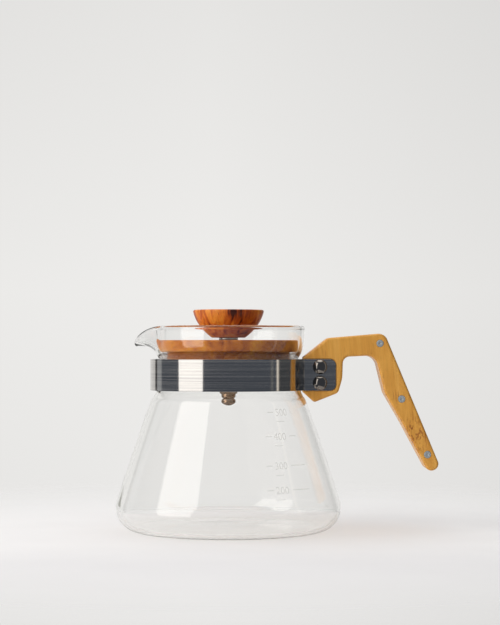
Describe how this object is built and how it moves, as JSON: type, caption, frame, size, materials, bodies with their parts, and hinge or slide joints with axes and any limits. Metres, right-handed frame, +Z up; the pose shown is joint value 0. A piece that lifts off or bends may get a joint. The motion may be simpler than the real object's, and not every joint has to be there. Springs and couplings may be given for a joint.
{
  "type": "coffee server carafe",
  "caption": "Conical glass coffee server with a pouring lip, a steel neck band that clamps a riveted wooden handle, and a lift-off turned wood lid with a knob.",
  "frame": {"origin": "centre of the flat ring that the carafe stands on, on the axis of the glass body", "axes": "+Z up along the glass body's axis, +X from that axis towards the handle, -X towards the pouring lip, +Y to the rear"},
  "size_m": [0.1682, 0.118, 0.1162],
  "materials": {
    "glass": "clear, polished",
    "silicone": "translucent, satin",
    "band_steel": "fine brush lines round the band",
    "handle_wood": "oiled, fine grain along the grip",
    "lid_wood": "oiled, streaked grain",
    "rivet_metal": "satin",
    "bright_steel": "polished"
  },
  "bodies": {
    "carafe": {"glass_body": "glass", "neck_liner": "silicone", "neck_band": "band_steel", "handle_half_front": "handle_wood", "handle_half_rear": "handle_wood", "rivet_corner": "rivet_metal", "rivet_middle": "rivet_metal", "rivet_tip": "rivet_metal", "handle_screw_upper": "bright_steel", "handle_screw_lower": "bright_steel", "handle_nut_upper": "bright_steel", "handle_nut_lower": "bright_steel"},
    "lid": {"lid_disc": "lid_wood", "lid_knob": "lid_wood", "knob_spacer": "bright_steel", "lid_stud": "bright_steel", "lid_washer": "bright_steel", "lid_cap_nut": "bright_steel"}
  },
  "joints": [
    {"name": "lid_lift", "type": "slide", "parent": "carafe", "child": "lid", "axis": [0, 0, 1], "range_m": [0, 0.06]}
  ]
}
